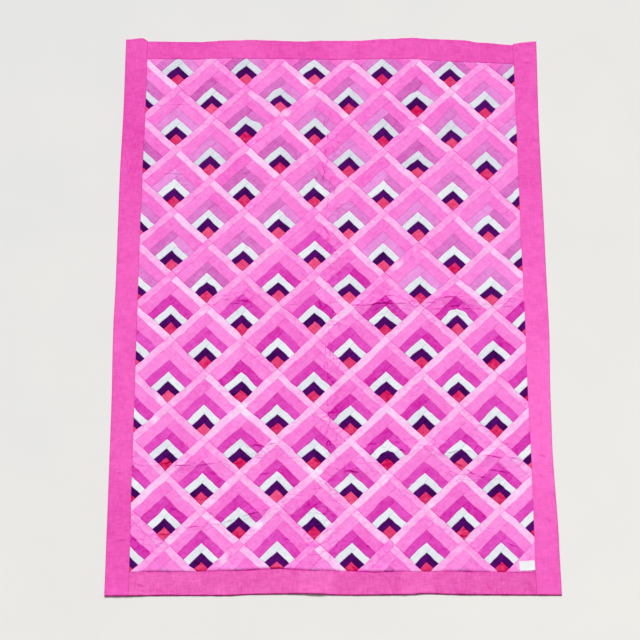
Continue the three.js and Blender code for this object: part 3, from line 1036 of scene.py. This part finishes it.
def closed_sheet(name, columns, rows, shape):
    """A closed sheet over a grid; shape gives its points' x, y, underside and face heights."""
    x, y = (part.ravel() for part in np.meshgrid(columns, rows))
    laid_x, laid_y, under, face = shape(x, y)
    count, wide, tall = len(x), len(columns), len(rows)
    points = np.concatenate([np.stack((laid_x, laid_y, face), axis=1),
                             np.stack((laid_x, laid_y, under), axis=1)]) * MM
    corner = (np.arange(tall - 1)[:, None] * wide + np.arange(wide - 1)).ravel()
    over = np.stack((corner, corner + 1, corner + wide + 1, corner + wide), axis=1)
    below = over[:, ::-1] + count
    first_row, last_row = np.arange(wide), np.arange(wide) + (tall - 1) * wide
    first_column, last_column = np.arange(tall) * wide, np.arange(tall) * wide + wide - 1
    round_it = [(first_row, 1), (last_column, 1), (last_row, -1), (first_column, -1)]
    walls = []
    for line, way in round_it:
        line = line[::way]
        walls.append(np.stack((line[1:], line[:-1], line[:-1] + count, line[1:] + count), axis=1))
    faces = np.concatenate([over, below, *walls])
    mesh = bpy.data.meshes.new(name)
    mesh.from_pydata(points.tolist(), [], faces.tolist())
    obj = bpy.data.objects.new(name, mesh)
    bpy.context.collection.objects.link(obj)
    smooth(obj)
    return obj


BACKING_THICKNESS = 0.8
BACKING_CELL = 16
BACKING_EDGE = (8,)          # its first cell from each side
BACKING_TINT = 0.5


def backing():
    """Wadding and backing under the patches, seen only from below."""
    def shape(x, y):
        laid_x, laid_y = laid_between(PANEL_SIDES, x, y)
        under = lift(laid_x, laid_y)
        return laid_x, laid_y, under, under + BACKING_THICKNESS
    columns = graded(PANEL["left"], PANEL["right"], BACKING_EDGE, BACKING_EDGE, BACKING_CELL)
    rows = graded(PANEL["bottom"], PANEL["top"], BACKING_EDGE, BACKING_EDGE, BACKING_CELL)
    obj = closed_sheet("wadding_and_backing", columns, rows, shape)
    give(obj, "tint", np.full(len(obj.data.vertices), BACKING_TINT))
    dress(obj, "border")
    return obj


BORDER_TOP = 5.2             # face of the border above its underside
EDGE_CELLS = (0.5, 1.3, 2.6, 4.5, 7.5, 9.5, 12.0)
JOIN_CELLS = (1.1, 3.0, 6.0)
EDGE_ROLL = 3.5              # how far in the turned edge rounds off, at the sides and top
EDGE_THICK = 0.16            # share of the thickness that is left at the very edge
LEAST_HEM = 0.5              # thickness where an edge and a seam meet
EDGE_LIFT = 0.5              # of the stiff hem off the floor, at the sides and top
LIFT_REACH = 28              # how far in the lifting goes
LIFT_SWELL = Swell(0.3, 45, 54)          # how uneven the lifting is, as a share of it
FAT_SWELL = Swell(0.16, 60, 52)          # and the thickness
TURNED = 9.0                 # width of cloth turned under at the outer edge
TURNED_HIGH = 0.5
TURNED_RAMP = 2.5            # how far it takes to run out
PUCKERED = 0.25              # height of the hem's puckers, at the sides and top
HEM_PUCKERS = Swell(1, 15, 53)
PUCKER_REACH = 16
BORDER_CELL = 4.4

HEM_PAINTED_SHADES = (1.0, 1.0, 2.2, 1.0)         # painted shade: how much deeper the cloth's colour is made at its rolled edges, left, right, bottom and top
HEM_SHADE_REACH = 1.4                     # right, bottom and top

# A border strip: its cloth, its four sides, which of them are outer edges, and its tint at points
# along it.
BorderStrip = namedtuple("BorderStrip", "name cloth sides outer along tint")
BORDER = [
    BorderStrip("border_left", "border",
                (EDGES["left"], SEAMS["left"], EDGES["bottom"], EDGES["top of left strip"]),
                (True, False, True, True), "y",
                [(-1164, 0.5), (-870, 0.3), (-680, 0.6), (120, 0.65), (450, 0.5), (700, 0.25),
                 (860, 0.3), (1164, 0.5)]),
    BorderStrip("border_right", "border",
                (SEAMS["right"], EDGES["right"], EDGES["bottom"], EDGES["top of right strip"]),
                (False, True, True, True), "y",
                [(-1164, 0.6), (-740, 0.85), (-690, 1.1), (-260, 1.1), (-120, 0.85), (400, 0.7),
                 (520, 0.5), (620, 0.5), (700, 0.6), (1164, 0.5)]),
    BorderStrip("border_top", "border",
                (SEAMS["left"], SEAMS["right"], SEAMS["top"], EDGES["top"]),
                (False, False, False, True), "x",
                [(-730, 0.5), (-600, 0.3), (-330, 0.6), (-200, 0.35), (-60, 0.3), (30, 0.55),
                 (250, 0.5), (730, 0.35)]),
    BorderStrip("border_bottom", "lower_border",
                (SEAMS["left"], SEAMS["right"], EDGES["bottom"], SEAMS["bottom"]),
                (False, False, True, False), "x",
                [(-730, 0.55), (-130, 0.55), (-118, 0.85), (-10, 0.75), (0, 0.5), (235, 0.45),
                 (250, 0.7), (355, 0.75), (370, 0.5), (730, 0.4)]),
]


def painted_hem_shade(strip, x, y):
    """Painted shade near a strip's outer edges, where the rolled hem meets the floor: how much deeper
    the cloth's colour is made there.
    """
    left, right, bottom, top = strip.sides
    away = [
        x - line_place(left, y), line_place(right, y) - x,
        y - line_place(bottom, x), line_place(top, x) - y,
    ]
    tone = np.zeros_like(x)
    for distance, outer, most in zip(away, strip.outer, HEM_PAINTED_SHADES):
        tone += outer * most * np.exp(-np.maximum(distance, 0) / HEM_SHADE_REACH)
    return tone


def border_strip(strip):
    """One strip of the border: soft at its seams, with a turned and rounded outer edge."""
    left, right, bottom, top = strip.sides
    beside = [EDGE_CELLS if outer else JOIN_CELLS for outer in strip.outer]

    def shape(x, y):
        laid_x, laid_y = laid_between(strip.sides, x, y)
        far = np.full_like(x, LENGTH)
        from_each = [x - left.base, right.base - x, y - bottom.base, top.base - y]
        from_edge = np.minimum.reduce([d if out else far for d, out in zip(from_each, strip.outer)])
        from_join = np.minimum.reduce([far if out else d for d, out in zip(from_each, strip.outer)])
        at_bottom = strip.outer[2] * np.exp(-((y - bottom.base) / LIFT_REACH) ** 2)
        at_other = np.exp(-(from_edge / LIFT_REACH) ** 2) * (1 - at_bottom)
        lifted = line_place(BOTTOM_LIFT, laid_x) * at_bottom + EDGE_LIFT * at_other
        lifted *= 1 + waves(laid_x, laid_y, LIFT_SWELL)
        under = lift(laid_x, laid_y) + lifted
        fat = 1 + waves(laid_x, laid_y, FAT_SWELL)
        roll = EDGE_ROLL + (line_place(BOTTOM_ROLL, laid_x) - EDGE_ROLL) * at_bottom
        edge = rounded(from_edge, roll)
        hem = TURNED_HIGH * (1 - np.clip((from_edge - TURNED) / TURNED_RAMP, 0, 1)) * edge
        puckered = PUCKERED + (line_place(BOTTOM_PUCKERS, laid_x) - PUCKERED) * at_bottom
        puckers = puckered * waves(laid_x, laid_y, HEM_PUCKERS) * np.exp(-from_edge / PUCKER_REACH)
        sunk = PANEL_SEAM_DEPTH * (1 - rounded(from_join, SIDE_ROUND))
        thick = BORDER_TOP * fat * (EDGE_THICK + (1 - EDGE_THICK) * edge)
        thick += hem + puckers * edge - sunk
        relief = face_relief(laid_x, laid_y) * edge
        return laid_x, laid_y, under, under + np.maximum(thick + relief, LEAST_HEM)

    columns = graded(left.base, right.base, beside[0], beside[1], BORDER_CELL)
    rows = graded(bottom.base, top.base, beside[2], beside[3], BORDER_CELL)
    obj = closed_sheet(strip.name + "_cloth", columns, rows, shape)
    x, y, _ = places(obj)
    at, tint = np.array(strip.tint, dtype=float).T
    # Painted shade deepens the strip's tint at its rolled edges, along the creases and along the bottom
    # seam.
    deeper = painted_hem_shade(strip, x, y) + painted_crease_shade(x, y, BORDER_CREASE_SHADE_WIDE) + painted_bottom_seam_shade(x, y)
    give(obj, "tint", np.interp(y if strip.along == "y" else x, at, tint) - deeper)
    dress(obj, strip.cloth)
    return obj


# ---- The label ----------------------------------------------------------------------------------

LABEL = {"x": 699, "y": -1045, "width": 56, "height": 37, "turn": 3.5}    # turn in degrees
LABEL_CLEAR = 0.35           # between the label and the patches' crowns
LABEL_LEAST = 0.25           # thickness at its very edge
LABEL_THICK = 0.95           # of its body above that
LABEL_ROUND = 1.0            # how far in its edges round off, from just outside them
LABEL_SHARP = 0.05
LABEL_TURNED = 4.5           # width of cloth turned under at its edges
LABEL_TURNED_HIGH = 0.35
LABEL_BOW = Swell(0.5, 34, 61)
LABEL_BOW_REACH = 8          # how far in from the edges it takes to bow fully
LABEL_CELL = 2.0
LABEL_EDGE_CELLS = (0.3, 0.8, 2.0, 4.5, 5.5)
LABEL_TINT = 0.6

STITCH_EVERY = 4.4           # from one stitch to the next
STITCH_INSET = 0.6           # of their middles from the label's edge
STITCH_HIGH = 0.9            # of their middles above its underside
STITCH_LEAN = 60             # degrees from the edge
STITCH_HALF = (1.3, 0.28, 0.28)          # half its length, width and thickness
STITCH_TINT = 0.9


def on_label(x, y):
    """Where a place on the label, from its middle, lies on the quilt."""
    turn = math.radians(LABEL["turn"])
    laid_x = LABEL["x"] + x * math.cos(turn) - y * math.sin(turn)
    laid_y = LABEL["y"] + x * math.sin(turn) + y * math.cos(turn)
    return laid_x, laid_y


def label_level(x, y):
    """Height of the label's underside at places on the quilt."""
    return lift(x, y) + face_relief(x, y) + PANEL_TOP + LABEL_CLEAR


def label():
    """A plain white label with its edges turned under, sewn flat to the corner of the panel."""
    half_x, half_y = LABEL["width"] / 2, LABEL["height"] / 2

    def shape(x, y):
        laid_x, laid_y = on_label(x, y)
        from_edge = np.minimum(half_x - np.abs(x), half_y - np.abs(y))
        soft = rounded(from_edge + LABEL_SHARP, LABEL_ROUND)
        turned = LABEL_TURNED_HIGH * (1 - np.clip(from_edge - LABEL_TURNED, 0, 1))
        bow = waves(laid_x, laid_y, LABEL_BOW) * np.clip(from_edge / LABEL_BOW_REACH, 0, 1)
        level = label_level(laid_x, laid_y)
        return laid_x, laid_y, level, level + LABEL_LEAST + (LABEL_THICK + turned + bow) * soft

    columns = graded(-half_x, half_x, LABEL_EDGE_CELLS, LABEL_EDGE_CELLS, LABEL_CELL)
    rows = graded(-half_y, half_y, LABEL_EDGE_CELLS, LABEL_EDGE_CELLS, LABEL_CELL)
    obj = closed_sheet("label_cloth", columns, rows, shape)
    give(obj, "tint", np.full(len(obj.data.vertices), LABEL_TINT))
    dress(obj, "label")
    return obj


def label_stitches():
    """Small slanting stitches that hold the label's edges."""
    half_x, half_y = LABEL["width"] / 2, LABEL["height"] / 2
    bpy.ops.object.select_all(action="DESELECT")
    bpy.ops.mesh.primitive_uv_sphere_add(segments=8, ring_count=6, radius=MM)
    pattern = bpy.context.object
    stitches = []
    for turn in range(4):
        length, side = (half_x, half_y) if turn % 2 == 0 else (half_y, half_x)
        count = int(2 * length / STITCH_EVERY)
        for k in range(count):
            along = -length + (k + 0.5) * 2 * length / count
            x, y = along, STITCH_INSET - side
            for _ in range(turn):
                x, y = -y, x
            laid_x, laid_y = on_label(x, y)
            height = label_level(np.array([laid_x]), np.array([laid_y]))[0] + STITCH_HIGH
            stitch = own_copy(pattern)
            lean = math.radians(LABEL["turn"] + 90 * turn + STITCH_LEAN)
            stitch.data.transform(
                Matrix.Translation(Vector((laid_x, laid_y, height)) * MM)
                @ Matrix.Rotation(lean, 4, "Z") @ Matrix.Diagonal((*STITCH_HALF, 1))
            )
            stitches.append(stitch)
    bpy.data.objects.remove(pattern)
    whole = joined(stitches, "label_stitches")
    give(whole, "tint", np.full(len(whole.data.vertices), STITCH_TINT))
    smooth(whole)
    dress(whole, "label")
    return whole


# ---- Floor, light and camera --------------------------------------------------------------------

# The floor's two shades, and how its colour goes from the first to the second: its middle, its
# slopes for each metre to the right and up, which are painted light, and its blotches.
FLOOR_SIZE = 300
FLOOR_DROP = 0.0004          # below the quilt, in metres
FLOOR_SHADES = (dyed(228, 228, 227), dyed(240, 237, 232))
FLOOR_MIDDLE = 0.39
FLOOR_PAINTED_LIGHT_SLOPES = (0.14, -0.118)
FLOOR_NOISE = {"scale": 2.2, "detail": 4, "roughness": 0.6}
FLOOR_BLOTCHED = 0.8
FLOOR_ROUGHNESS = 0.8
FLOOR_SHINE = 0.2


def floor():
    """A plain pale floor with blotches, and painted light that makes it a little paler to the right and
    towards the bottom.
    """
    bpy.ops.object.select_all(action="DESELECT")
    bpy.ops.mesh.primitive_plane_add(size=FLOOR_SIZE, location=(0, 0, -FLOOR_DROP))
    ground = bpy.context.object
    ground.name = "floor"
    material = bpy.data.materials.new("pale_floor")
    material.use_nodes = True
    tree = material.node_tree
    where = own_places(tree)
    parts = node(tree, "ShaderNodeSeparateXYZ")
    tree.links.new(where, parts.inputs[0])
    # Painted light: the floor grows paler to the right and towards the bottom.
    rightward = calculated(tree, "MULTIPLY", parts.outputs["X"], FLOOR_PAINTED_LIGHT_SLOPES[0])
    upward = calculated(tree, "MULTIPLY", parts.outputs["Y"], FLOOR_PAINTED_LIGHT_SLOPES[1])
    painted_light_ramp = calculated(tree, "ADD", calculated(tree, "ADD", rightward, upward), FLOOR_MIDDLE)
    blotches = calculated(tree, "MULTIPLY", noise(tree, where, **FLOOR_NOISE), FLOOR_BLOTCHED)
    mix = node(tree, "ShaderNodeMix", data_type="RGBA")
    tree.links.new(calculated(tree, "ADD", painted_light_ramp, blotches), mix.inputs["Factor"])
    mix.inputs["A"].default_value, mix.inputs["B"].default_value = FLOOR_SHADES
    shader = tree.nodes["Principled BSDF"]
    tree.links.new(mix.outputs["Result"], shader.inputs["Base Color"])
    shader.inputs["Roughness"].default_value = FLOOR_ROUGHNESS
    shader.inputs["Specular IOR Level"].default_value = FLOOR_SHINE
    ground.data.materials.append(material)


# Far, even lights: strength, spread in degrees, and the direction in which each shines.
SUNS = {
    "overhead_light": (0.6, 120, (0, 0.1, -1)),
    "window_light": (3.0, 18, (0.12, -0.64, -1.0)),
}
SKY_COLOUR = (1.0, 0.995, 0.985, 1)
SKY_STRENGTH = 0.17


def sun(name, energy, spread, toward):
    lamp = bpy.data.lights.new(name, "SUN")
    lamp.energy = energy
    lamp.angle = math.radians(spread)
    holder = bpy.data.objects.new(name, lamp)
    bpy.context.collection.objects.link(holder)
    holder.rotation_euler = Vector(toward).to_track_quat("-Z", "Y").to_euler()


def lights():
    world = bpy.data.worlds.new("soft_room")
    bpy.context.scene.world = world
    world.use_nodes = True
    sky = world.node_tree.nodes["Background"]
    sky.inputs["Color"].default_value = SKY_COLOUR
    sky.inputs["Strength"].default_value = SKY_STRENGTH
    for name, settings in SUNS.items():
        sun(name, *settings)


# Where the camera looks, from how far, its heading to the right of +Y, how steeply it looks down and
# how far it leans to the left, in metres and degrees.
VIEW = {"target": (-0.047, -0.077, 0), "distance": 9.172, "heading": 3.5, "dip": 65.34, "lean": 3.79}
LENS = 137.1                 # focal length on a sensor of that width, both in millimetres
SENSOR = 36
SEEN_UP_TO = 100             # metres from the camera


def camera():
    lens = bpy.data.cameras.new("camera")
    lens.lens = LENS
    lens.sensor_width = SENSOR
    lens.clip_end = SEEN_UP_TO
    eye = bpy.data.objects.new("camera", lens)
    bpy.context.collection.objects.link(eye)
    turn = (
        Matrix.Rotation(math.radians(-VIEW["heading"]), 4, "Z")
        @ Matrix.Rotation(math.radians(90 - VIEW["dip"]), 4, "X")
        @ Matrix.Rotation(math.radians(VIEW["lean"]), 4, "Z")
    )
    outward = Matrix.Translation((0, 0, VIEW["distance"]))
    eye.matrix_world = Matrix.Translation(VIEW["target"]) @ turn @ outward
    bpy.context.scene.camera = eye
    bpy.context.scene.view_settings.view_transform = "Standard"


# ---- The quilt ----------------------------------------------------------------------------------

camera()
floor()
lights()

patches = patchwork()
back = backing()
for piece in (*patches.values(), back):
    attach(piece, "root")
    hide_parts("centre_panel")

for strip in BORDER:
    cloth = border_strip(strip)
    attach(cloth, "root")
    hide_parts(strip.name)

label_cloth = label()
stitches = label_stitches()
for piece in (label_cloth, stitches):
    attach(piece, "root")
    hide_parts("label")

bpy.ops.object.select_all(action="DESELECT")
